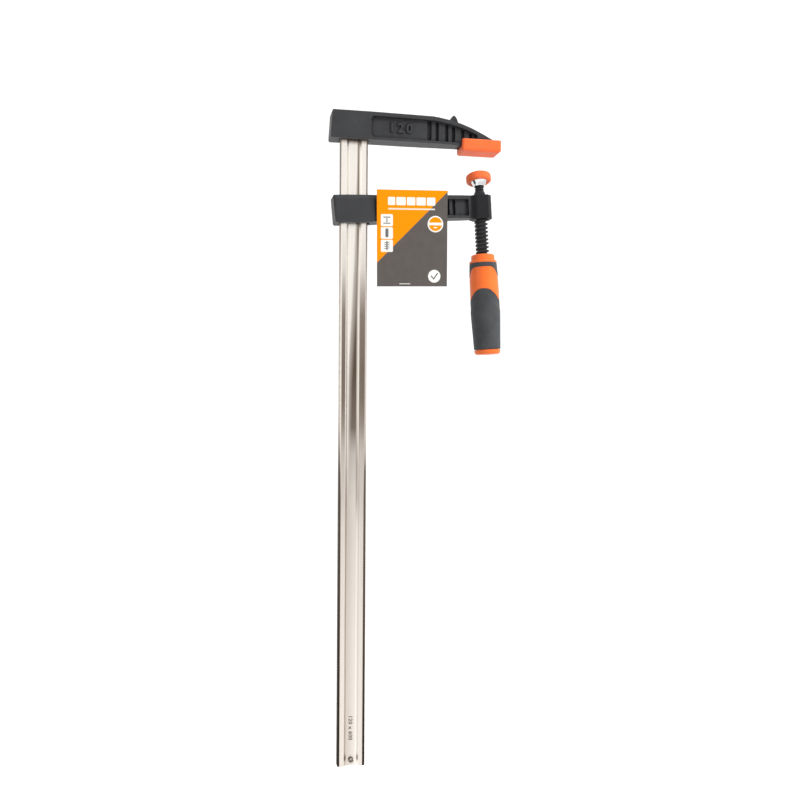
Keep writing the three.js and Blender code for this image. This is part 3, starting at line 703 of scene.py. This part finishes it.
# ------------------------------------------------------------------ spindle
def build_spindle():
    # thread: a sheared grid whose rows follow the helix, with rounded crests and roots
    n = 96
    pitch, rc, rr = 4.0, 6.95, 4.95
    prof = [(0.0, rr), (0.22, rr), (0.30, rr + 0.06), (0.33, rr + 0.25), (0.44, rc - 0.2), (0.48, rc - 0.04), (0.54, rc), (0.80, rc), (0.86, rc - 0.04), (0.90, rc - 0.2), (0.98, rr + 0.12)]
    k = len(prof)
    z0, z1 = -51.0, 13.0
    turns = int((z1 - z0) / pitch) + 1
    total = turns * k
    verts = []
    stride = total + k + 1
    for j in range(n):
        for i in range(stride):
            f, r = prof[i % k]
            z = z0 + pitch * (i // k + f + j / n - 1)
            # the thread runs out into the neck at the top
            fade = min(1.0, max(0.0, (z1 + 0.6 - z) / 2.4))
            r = 4.6 + (r - 4.6) * fade if z > z1 - 2.4 else r
            zc = min(max(z, z0 - 0.6), z1 + 1.2)
            verts.append((r * math.cos(2 * math.pi * j / n), r * math.sin(2 * math.pi * j / n), zc))

    def ix(j, i):
        return i + k if j == n else j * stride + i

    faces = []
    for j in range(n):
        for i in range(total):
            a = ix(j, i) if j < n else ix(0, i + k)
            b = ix(j + 1, i) if j + 1 < n else ix(0, i + k)
            c = ix(j + 1, i + 1) if j + 1 < n else ix(0, i + 1 + k)
            d = ix(j, i + 1)
            faces.append((a, b, c, d))
    low = len(verts)
    verts.append((0, 0, z0 - 0.6))
    high = len(verts)
    verts.append((0, 0, z1 + 1.2))
    for j in range(n):
        b = ix(j + 1, 0) if j + 1 < n else ix(0, k)
        faces.append((low, b, ix(j, 0)))
        b = ix(j + 1, total) if j + 1 < n else ix(0, total + k)
        faces.append((high, ix(j, total), b))
    for i in range(k):
        faces.append((low, ix(0, i), ix(0, i + 1)))
        faces.append((high, ix(0, total + i + 1), ix(0, total + i)))
    thread = (verts, faces)
    ball = 26.3
    a0 = math.asin(3.2 / 5.2)
    arc = [(5.2 * math.sin(t), ball - 5.2 * math.cos(t)) for t in np.linspace(a0, math.pi, 26)]
    arc[-1] = (0.0, arc[-1][1])
    neck = fillet(
        [(0, -127.6), (4.1, -127.6), (4.1, -126.2), (3, -126.2), (3, -124), (5, -124), (5, -51.4), (4.5, -51.0), (4.5, 11.8), (5.85, 13.2), (5.85, 15.3), (4.5, 18.4), (4.5, 18.85), (3.0, 18.95), (3.0, 20.5), (3.2, 20.6), (3.2, arc[0][1])],
        [0, 0.6, 0.3, 0.1, 0.1, 0.5, 0.1, 0.1, 0.1, 0.5, 1.2, 1.2, 0.15, 0.1, 0.1, 0.2, 0],
        4,
    )
    shank = turned(densify(neck, 2.5) + arc[1:], 96)
    verts = list(thread[0])
    off = len(verts)
    verts += shank[0]
    faces = list(thread[1]) + [tuple(i + off for i in f) for f in shank[1]]
    return verts, faces


sv, sf = build_spindle()
finish_mesh("screw_spindle", sv, sf, SP, "screw", M_BLACK, 40, ["spindle"])

rv, rf = turned(fillet([(3.35, 19.2), (4.75, 19.2), (4.75, 20.25), (3.35, 20.25)], [0.25] * 4, 4, True), 96)
finish_mesh("retaining_ring", rv, rf, SP, "feed", M_BLACK, 50, ["ball_retaining_ring"])

cav = [(5.5 * math.cos(t), 26.3 + 5.5 * math.sin(t)) for t in np.linspace(-math.acos(4.5 / 5.5), math.pi / 2, 22)]
cav[-1] = (0.0, cav[-1][1])
outer = fillet(
    [(4.5, cav[0][1]), (4.8, 22.0), (5.9, 22.0), (6.25, 22.5), (6.2, 24.0), (7.1, 25.7), (8.0, 27.2), (8.9, 28.3), (8.9, 31.6), (8.2, 32.9), (0, 32.9)],
    [0, 0.2, 0.35, 0.5, 1.2, 1.2, 0.6, 0.5, 0.6, 0.5, 0],
    5,
)
pv, pf = turned(cav[::-1] + outer[1:], 128)
finish_mesh("swivel_dish", pv, pf, PAD, "pad", M_CHROME, 40, ["swivel_plate"])

cap_prof = fillet(
    [(0, 33.2), (8.4, 33.2), (9.2, 31.95), (9.2, 28.25), (8.4, 27.3), (11.6, 27.3), (13.0, 28.6), (13.0, 34.2), (11.8, 35.4), (9.2, 35.4), (8.9, 35.1), (0, 35.1)],
    [0, 0.3, 0.3, 0.3, 0.25, 0.6, 1.1, 1.2, 1.2, 0.2, 0.2, 0],
    6,
)
kv, kf = turned(densify(cap_prof, 1.5), 128)
finish_mesh("pad_cover", kv, kf, PAD, "pad", M_CAP, 45, ["pad_cap"])

# ------------------------------------------------------------------ handle
BODY = [(-57.2, 14.1), (-62, 14.2), (-68, 14.65), (-75, 15.0), (-85, 15.1), (-95, 15.15), (-105, 15.15), (-112, 15.0), (-118, 14.8)]
BODY += [(-125, 14.55), (-131, 14.25), (-138, 14.05), (-147.6, 13.6)]
_bs = np.array([b[0] for b in BODY][::-1])
_br = np.array([b[1] for b in BODY][::-1])


def body_r(s):
    # smooth the table with a short average
    return sum(float(np.interp(s + d, _bs, _br)) for d in (-4, -2, 0, 2, 4)) / 5


def arch(x):
    return -84.8 - 11.6 * (min(abs(x), 15.2) / 15.2) ** 2.6


def window_top(x):
    return -61.9 - 10 * (min(abs(x), 14.5) / 14.5) ** 7


N = 192
THETA = [2 * math.pi * j / N for j in range(N)]


def shell(columns, inner):
    """A closed shell from per-angle outer rows [(r, s), ...] and inner rows of the same count."""
    cols = []
    for t, (o, i) in zip(THETA, zip(columns, inner)):
        ring = o + i[::-1]
        cols.append([(r * math.cos(t), r * math.sin(t), s) for r, s in ring])
    m = len(cols[0])
    verts = [v for c in cols for v in c]
    faces = []
    for j in range(N):
        jj = (j + 1) % N
        for i in range(m):
            ii = (i + 1) % m
            faces.append((j * m + i, jj * m + i, jj * m + ii, j * m + ii))
    return verts, faces


def x_at(t, s_guess, f):
    """Where a boundary given as a height over x meets the surface at this angle."""
    s = s_guess
    for _ in range(6):
        s = f(body_r(s) * math.cos(t))
    return s


# band: thin collar of soft plastic under the lip, with two ears
cols, inn = [], []
for t in THETA:
    low = x_at(t, -64, window_top)
    top = -57.35
    rows = []
    for i in range(15):
        u = i / 14
        s = top + (low - top) * u
        edge = min(u, 1 - u) * abs(low - top)
        rows.append((body_r(s) + 0.16 - 0.42 * max(0.0, 1 - edge / 0.45) ** 2, s))
    cols.append(rows)
    inn.append([(body_r(s) - 1.5, s) for _, s in rows])
bv, bf = shell(cols, inn)
finish_mesh("soft_band", bv, bf, HANDLE, "screw", M_RUBBER, 45, ["handle_top_band"])

# grip: arched top and a raised inner panel that follows the arch
cols, inn = [], []
ROWS = 84
for t in THETA:
    top = x_at(t, -90, arch)
    foot = -147.25
    rows = []
    for i in range(ROWS + 1):
        u = i / ROWS
        # finer rows near both ends
        u = u - 0.08 * math.sin(2 * math.pi * u)
        s = top + (foot - top) * u
        d = top - s
        e = min(d, s - foot)
        r = body_r(s) + 0.2 - 0.55 * max(0.0, 1 - e / 0.7) ** 2
        # shallow step that follows the arch
        inner_top = x_at(t, -98, lambda x: -94.8 - 11.4 * (min(abs(x), 15.0) / 15.0) ** 2.6)
        k = 1 / (1 + math.exp(-(inner_top - s) / 0.45))
        fade = max(0.0, 1 - max(0.0, -110 - s) / 26)
        r += (0.34 * k - 0.16) * fade
        rows.append((r, s))
    cols.append(rows)
    inn.append([(body_r(s) - 1.7, s) for _, s in rows])
gv, gf2 = shell(cols, inn)
finish_mesh("soft_grip", gv, gf2, HANDLE, "screw", M_RUBBER, 45, ["handle_grip"])

# core: collar, lip and the body that shows between band and grip
collar = fillet([(7.4, -54), (7.4, -48.4), (10.7, -48.4), (12.15, -49.4), (12.3, -54.4), (13.6, -55.1), (14.25, -55.6), (14.25, -57.25)], [0, 0.4, 0.8, 1.2, 0.6, 0.4, 0.4, 0.1], 5)
cols = []
for t in THETA:
    low = x_at(t, -64, window_top)
    top = x_at(t, -90, arch)
    rows = list(densify(collar, 1.5))
    rows += [(body_r(-57.3) - 1.65, -57.3)]
    for i in range(1, 7):
        s = -57.3 + (low + 0.05 + 57.3) * i / 6
        rows.append((body_r(s) - 1.65, s))
    s0, s1 = low - 0.1, top + 0.1
    rows.append((body_r(s0) - 0.4, s0))
    rows.append((body_r(s0) - 0.08, s0 - 0.12))
    for i in range(0, 25):
        s = s0 - 0.35 + (s1 + 0.35 - (s0 - 0.35)) * i / 24
        rows.append((body_r(s), s))
    rows.append((body_r(s1) - 0.08, s1 + 0.12))
    rows.append((body_r(s1) - 0.4, s1))
    for i in range(0, 13):
        s = s1 - 0.05 + (-147.5 - (s1 - 0.05)) * i / 12
        rows.append((body_r(s) - 1.85, s))
    rows += [(9.0, -147.5), (9.0, -124.0), (5.3, -123.7), (5.3, -54.6)]
    cols.append(rows)
m = len(cols[0])
verts = []
for t, rows in zip(THETA, cols):
    verts += [(r * math.cos(t), r * math.sin(t), s) for r, s in rows]
faces = []
for j in range(N):
    jj = (j + 1) % N
    for i in range(m):
        ii = (i + 1) % m
        faces.append((j * m + i, jj * m + i, jj * m + ii, j * m + ii))
finish_mesh("hard_core", verts, faces, HANDLE, "screw", M_HANDLE, 40, ["handle_core"])

end_prof = fillet(
    [(0, -142.5), (8.6, -142.5), (8.6, -147.85), (13.4, -147.85), (13.75, -148.4), (13.6, -150.0), (12.6, -152.0), (10.8, -152.6), (5.2, -152.6), (4.6, -152.1), (0, -152.1)],
    [0, 0.4, 0.2, 0.3, 0.4, 1.0, 1.4, 0.8, 0.2, 0.2, 0],
    6,
)
ev, ef = turned(densify(end_prof, 1.4), 128)
finish_mesh("end_cap", ev, ef, HANDLE, "screw", M_HANDLE, 45, ["handle_end_cap"])

wm = nodes["handle_lock_washer"]
wm.data.materials.clear()
wm.data.materials.append(M_PIN)


# ------------------------------------------------------------------ hang card
CARD = Matrix.Translation((57.7, 0, 582.6)) @ Matrix.Rotation(math.radians(-1.7), 4, "Y") @ Matrix.Translation((-58.3, 0, -582.4))
CARD_INV = CARD.inverted()
CX0, CX1, CTOP, CFOOT = 21.7, 94.9, 582.4, 486.4
LX0, LX1 = 34.0, 84.0
TOP_Y, LEAN = -17.2, 12.2 / 96


def card_material():
    """Printed card. u runs 0..1 from the left edge, v runs 0..1 down from the top, both from the card's own place."""
    m = Mat("printed_card")
    # object space is the row frame: undo the card's small turn
    rot = math.radians(1.7)
    x, y, z = m.xyz()
    px = m.math("SUBTRACT", x, 57.7 * MM)
    pz = m.math("SUBTRACT", z, 582.6 * MM)
    c, s = math.cos(rot), math.sin(rot)
    lx = m.math("ADD", m.math("MULTIPLY", px, c), m.math("MULTIPLY", pz, s))
    lz = m.math("SUBTRACT", m.math("MULTIPLY", pz, c), m.math("MULTIPLY", px, s))
    U = m.math("MULTIPLY", m.math("ADD", lx, (58.3 - CX0) * MM), 1000.0)  # mm from the left edge
    V = m.math("MULTIPLY", lz, -1000.0)  # mm down from the top edge
    W, H = CX1 - CX0, CTOP - CFOOT

    def step(d, soft=0.06):
        """1 where d is below 0."""
        return m.map(d, -soft, soft, 1.0, 0.0)

    def rect(u0, u1, v0, v1, r=0.8):
        cu, cv = (u0 + u1) / 2, (v0 + v1) / 2
        a = m.math("SUBTRACT", m.math("ABSOLUTE", m.math("SUBTRACT", U, cu)), (u1 - u0) / 2 - r)
        b = m.math("SUBTRACT", m.math("ABSOLUTE", m.math("SUBTRACT", V, cv)), (v1 - v0) / 2 - r)
        a0, b0 = m.math("MAXIMUM", a, 0.0), m.math("MAXIMUM", b, 0.0)
        out = m.math("SQRT", m.math("ADD", m.math("MULTIPLY", a0, a0), m.math("MULTIPLY", b0, b0)))
        ins = m.math("MINIMUM", m.math("MAXIMUM", a, b), 0.0)
        return m.math("SUBTRACT", m.math("ADD", out, ins), r)

    def dist(cu, cv):
        du, dv = m.math("SUBTRACT", U, cu), m.math("SUBTRACT", V, cv)
        return m.math("SQRT", m.math("ADD", m.math("MULTIPLY", du, du), m.math("MULTIPLY", dv, dv)))

    def seg(u0, v0, u1, v1, w):
        """Distance to a stroke."""
        L2 = (u1 - u0) ** 2 + (v1 - v0) ** 2
        du, dv = m.math("SUBTRACT", U, u0), m.math("SUBTRACT", V, v0)
        t = m.math("DIVIDE", m.math("ADD", m.math("MULTIPLY", du, u1 - u0), m.math("MULTIPLY", dv, v1 - v0)), L2, clamp=True)
        ex = m.math("SUBTRACT", du, m.math("MULTIPLY", t, u1 - u0))
        ey = m.math("SUBTRACT", dv, m.math("MULTIPLY", t, v1 - v0))
        return m.math("SUBTRACT", m.math("SQRT", m.math("ADD", m.math("MULTIPLY", ex, ex), m.math("MULTIPLY", ey, ey))), w / 2)

    def union(ds):
        out = ds[0]
        for d in ds[1:]:
            out = m.math("MINIMUM", out, d)
        return out

    ORANGE, GREY, WHITE, INK = srgb(255, 150, 8), srgb(98, 93, 91), srgb(246, 244, 240), srgb(52, 54, 70)
    mott = m.noise(120, 4, 0.6)
    orange = m.mix(m.map(mott, 0.35, 0.7, 0.0, 0.18), ORANGE, srgb(250, 140, 4))
    grey = m.mix(m.map(mott, 0.35, 0.7, 0.0, 0.3), GREY, srgb(79, 75, 72))
    # diagonal from the upper right corner to the left edge
    k = (0.752 - 0.012) * H / W
    diag = m.math("SUBTRACT", m.math("ADD", V, m.math("MULTIPLY", U, k)), 0.752 * H)
    col = m.mix(step(diag, 0.09), grey, orange)
    # title: a plain row of blocks in place of lettering, with a thin rule below
    blocks = []
    u = 0.155 * W
    for w in (7.4, 9.8, 8.6, 9.6, 8.8):
        blocks.append(rect(u, u + w, 0.075 * H, 0.158 * H, 1.1))
        u += w + 1.2
    col = m.mix(step(union(blocks)), col, WHITE)
    col = m.mix(m.math("MULTIPLY", step(rect(0.158 * W, 0.82 * W, 0.188 * H, 0.204 * H, 0.4)), 0.75), col, WHITE)
    # three white squares with simple line icons: a jaw gap, a round grip, a screw
    us0, us1 = 0.056 * W, 0.224 * W
    for i, (v0, v1) in enumerate(((0.252, 0.376), (0.386, 0.506), (0.516, 0.641))):
        v0, v1 = v0 * H, v1 * H
        col = m.mix(step(rect(us0, us1, v0, v1, 1.3)), col, WHITE)
        cu, cv = (us0 + us1) / 2, (v0 + v1) / 2
        if i == 0:
            ink = [seg(cu - 3.2, cv - 3.0, cu + 3.2, cv - 3.0, 1.0), seg(cu - 3.2, cv + 3.0, cu + 3.2, cv + 3.0, 1.0), seg(cu, cv - 1.6, cu, cv + 1.6, 0.7), seg(cu - 1.0, cv - 0.8, cu, cv - 1.8, 0.5), seg(cu + 1.0, cv - 0.8, cu, cv - 1.8, 0.5), seg(cu - 1.0, cv + 0.8, cu, cv + 1.8, 0.5), seg(cu + 1.0, cv + 0.8, cu, cv + 1.8, 0.5)]
        elif i == 1:
            ink = [seg(cu, cv - 2.6, cu, cv + 2.8, 3.2), seg(cu - 1.1, cv - 4.1, cu + 1.1, cv - 4.1, 0.8)]
        else:
            ink = [seg(cu - 2.4, cv - 2.9 + 1.9 * q, cu + 2.4, cv - 3.7 + 1.9 * q, 0.75) for q in range(4)] + [seg(cu, cv - 4.2, cu, cv + 3.6, 1.4)]
        col = m.mix(m.math("MULTIPLY", step(union(ink)), 0.85), col, INK)
    # round badge: white ring, orange disc, plain white bar
    d = dist(0.828 * W, 0.348 * H)
    col = m.mix(step(m.math("SUBTRACT", d, 8.2)), col, WHITE)
    disc = step(m.math("SUBTRACT", d, 6.9))
    col = m.mix(disc, col, orange)
    bar = m.math("MULTIPLY", disc, step(rect(0.828 * W - 9, 0.828 * W + 9, 0.348 * H - 1.5, 0.348 * H + 1.2, 0.1)))
    col = m.mix(bar, col, WHITE)
    dot = rect(0.828 * W - 1.8, 0.828 * W + 1.8, 0.348 * H + 2.9, 0.348 * H + 4.0, 0.4)
    col = m.mix(step(dot), col, WHITE)
    # round white symbol: two plain strokes
    cu, cv = 0.815 * W, 0.893 * H
    d2 = dist(cu, cv)
    col = m.mix(step(m.math("SUBTRACT", d2, 6.5)), col, WHITE)
    ink = union([seg(cu - 3.2, cv - 0.2, cu - 0.6, cv + 2.8, 1.1), seg(cu - 0.6, cv + 2.8, cu + 3.4, cv - 3.0, 1.1)])
    col = m.mix(step(ink), col, srgb(84, 80, 78))
    col = m.mix(m.math("MULTIPLY", step(rect(0.315 * W, 0.47 * W, 0.968 * H, 0.977 * H, 0.3)), 0.7), col, WHITE)
    # only the front is printed this way; edges show pale board, back and loop show plain grey
    ny = m.xyz(m.nt.nodes.new("ShaderNodeNewGeometry").outputs["Normal"])[1]
    lean = m.math("SUBTRACT", m.math("MULTIPLY", y, 1000.0), m.math("ADD", m.math("MULTIPLY", V, LEAN), TOP_Y))
    front = m.map(lean, 0.16, 0.3, 1.0, 0.0)
    back = m.mix(m.map(mott, 0.3, 0.7, 0.0, 0.5), srgb(196, 190, 182), srgb(184, 178, 170))
    col = m.mix(front, back, col)
    m.set(color=col, rough=m.map(m.noise(500, 3), 0.3, 0.7, 0.42, 0.5), spec=0.08)
    fibre = m.noise(1.0, 4, 0.7, m.scaled(900, 900, 2400))
    m.set(normal=m.bump(fibre, 0.00003, 0.35))
    return m.m


def build_card():
    """Folded card: one long leaning front panel and a narrower loop round the arm, with slightly rounded folds and a faint bow."""
    t = 0.55

    def face(z):
        return TOP_Y + LEAN * (CTOP - z)

    verts, faces = [], []

    def strip(line, x0, x1, nx, bowed):
        line = np.array(line)
        d = np.gradient(line, axis=0)
        d /= np.linalg.norm(d, axis=1)[:, None]
        nrm = np.stack([-d[:, 1], d[:, 0]], 1)
        loop = np.concatenate([line + nrm * t / 2, (line - nrm * t / 2)[::-1]])
        k, base = len(loop), len(verts)
        xs = np.linspace(x0, x1, nx)
        for x in xs:
            u = (x - CX0) / (CX1 - CX0)
            for yy, zz in loop:
                v = (CTOP - zz) / (CTOP - CFOOT)
                bow = 0.0
                if bowed:
                    # the free lower part of the panel bows a little
                    bow = -0.45 * math.sin(math.pi * u) * max(0.0, v - 0.35) ** 1.5 + 0.12 * (u - 0.5) * max(0.0, v - 0.4)
                verts.append((x, yy + bow, zz))
        for i in range(nx - 1):
            for j in range(k):
                jj = (j + 1) % k
                faces.append((base + i * k + j, base + (i + 1) * k + j, base + (i + 1) * k + jj, base + i * k + jj))
        m2 = len(line)
        for end in (base, base + (nx - 1) * k):
            for j in range(m2 - 1):
                faces.append((end + j, end + j + 1, end + k - 2 - j, end + k - 1 - j))

    h = t / 2
    strip(densify([(face(CFOOT) + h, CFOOT), (face(CTOP) + h, CTOP)], 2.4), CX0, CX1, 41, True)
    g = h + t + 0.03
    line = fillet(
        [(face(575) + g, 575.0), (face(CTOP) + g, CTOP - h), (13.92, CTOP - h), (13.92, 546.5), (face(546.5) + g, 546.5), (face(541) + g, 541.0)],
        [0, 0.7, 0.9, 0.9, 0.8, 0],
        6,
    )
    strip(densify(line, 2.4), LX0, LX1, 21, False)
    return verts, faces


M_CARD = card_material()
cv, cf = build_card()
finish_mesh("card_sleeve", cv, cf, CARD, "card", M_CARD, 40, ["hang_card"])


# ------------------------------------------------------------------ size marking on the bar (plain numbers)
def bar_marking():
    m = Mat("bar_mark")
    n = m.noise(1500, 3)
    m.set(color=m.ramp(n, [(0.35, srgb(74, 64, 56)), (0.7, srgb(120, 108, 98))]), rough=0.6, metal=0.3, normal=m.bump(n, 0.00002, 0.4))
    tv, tf = text_mesh("120 x 600", 5.4, 0.05, 0.16, 1.14)
    place = Matrix.Translation((-0.6, -2.905, 38)) @ FACE_FRONT @ Matrix.Rotation(math.radians(-90), 4, "Z")
    finish_mesh("size_marking", tv, tf, place, "root", m.m, 30)


bar_marking()


# ------------------------------------------------------------------ stage, light, camera
def stage_material(name, value):
    m = Mat(name)
    m.set(color=(value, value, value, 1.0), rough=0.9, spec=0.1)
    m.p.inputs["Emission Color"].default_value = (1, 1, 1, 1)
    path = m.nt.nodes.new("ShaderNodeLightPath")
    m.link(m.map(path.outputs["Is Diffuse Ray"], 0.0, 1.0, 0.7, 0.05), m.p.inputs["Emission Strength"])
    return m.m


def build_stage():
    z0 = -0.17
    prof = [(-2.2, z0), (1.6, z0)]
    for i in range(1, 13):
        a = math.pi / 2 * i / 12
        prof.append((1.6 + 0.9 * math.sin(a), z0 + 0.9 * (1 - math.cos(a))))
    prof.append((2.5, 3.4))
    verts, faces = [], []
    for x in (-4.0, 4.0):
        verts += [(x, y, z) for y, z in prof]
    n = len(prof)
    for i in range(n - 1):
        faces.append((i, i + 1, n + i + 1, n + i))
    me = bpy.data.meshes.new("sweep")
    me.from_pydata(verts, [], faces)
    me.polygons.foreach_set("use_smooth", [True] * len(me.polygons))
    ob = bpy.data.objects.new("sweep", me)
    bpy.context.scene.collection.objects.link(ob)
    me.materials.append(stage_material("sweep_white", 0.6))
    ob.rotation_euler[2] = math.radians(-11.3)
    return ob


build_stage()


def area(name, loc, target, size_x, size_y, power, color=(1, 1, 1)):
    li = bpy.data.lights.new(name, "AREA")
    li.shape = "RECTANGLE"
    li.size, li.size_y = size_x, size_y
    li.energy = power
    li.color = color
    ob = bpy.data.objects.new(name, li)
    ob.location = loc
    ob.rotation_euler = (Vector(target) - Vector(loc)).to_track_quat("-Z", "Y").to_euler()
    bpy.context.scene.collection.objects.link(ob)
    return ob


area("key_right", (1.3, -1.1, 1.0), (0.05, 0, 0.4), 0.9, 1.5, 28, (1.0, 0.98, 0.95)).visible_glossy = False
area("fill_left", (-1.5, -0.8, 0.7), (0.05, 0, 0.35), 0.9, 1.5, 2.5)
area("top", (0.1, -0.2, 1.9), (0.05, 0, 0.3), 1.2, 1.0, 8)

world = bpy.data.worlds.new("studio")
bpy.context.scene.world = world
world.use_nodes = True
bg = world.node_tree.nodes["Background"]
bg.inputs[0].default_value = (1.0, 0.995, 0.985, 1.0)
# full strength to the lens and in reflections, softer as fill on the clamp
path = world.node_tree.nodes.new("ShaderNodeLightPath")
level = world.node_tree.nodes.new("ShaderNodeMapRange")
level.inputs[3].default_value = 0.97
side = world.node_tree.nodes.new("ShaderNodeMapRange")
for i, v in enumerate((-1.0, 1.0, 0.36, 0.7)):
    side.inputs[i + 1].default_value = v
sky = world.node_tree.nodes.new("ShaderNodeTexCoord")
split = world.node_tree.nodes.new("ShaderNodeSeparateXYZ")
world.node_tree.links.new(sky.outputs["Generated"], split.inputs[0])
world.node_tree.links.new(split.outputs[0], side.inputs[0])
world.node_tree.links.new(side.outputs[0], level.inputs[4])
world.node_tree.links.new(path.outputs["Is Diffuse Ray"], level.inputs[0])
world.node_tree.links.new(level.outputs[0], bg.inputs[1])

cam_data = bpy.data.cameras.new("camera")
cam = bpy.data.objects.new("camera", cam_data)
bpy.context.scene.collection.objects.link(cam)
F_PX, PSI, ROLL, HORIZON, X0 = 916.0, math.radians(11.3), 0.0057, 398.0, -48.2
cam_data.sensor_width = 36.0
cam_data.lens = F_PX * 36.0 / 801.0
cam_data.clip_start = 0.05
cam_data.clip_end = 20.0
depth = 931.0
fwd = Vector((math.sin(PSI), math.cos(PSI), 0))
right = Vector((math.cos(PSI), -math.sin(PSI), 0))
up = Vector((0, 0, 1))
# the bar's foot centre lies `depth` ahead and X0 px right of the centre line; eye level is at 372.3 mm
eye = Vector((0, 0, 372.34)) - fwd * depth - right * ((X0) * depth / F_PX)
cam.location = eye * MM
basis = Matrix((right, up, -fwd)).transposed().to_4x4()
cam.matrix_world = Matrix.Translation(eye * MM) @ basis @ Matrix.Rotation(-ROLL * 0 + 0.0057, 4, "Z")
cam_data.shift_y = -(HORIZON - 400.5) / 801.0 * -1.0
bpy.context.scene.camera = cam

sc = bpy.context.scene
sc.view_settings.view_transform = "Standard"
sc.view_settings.look = "None"
sc.view_settings.exposure = 0.0

bpy.context.view_layer.update()
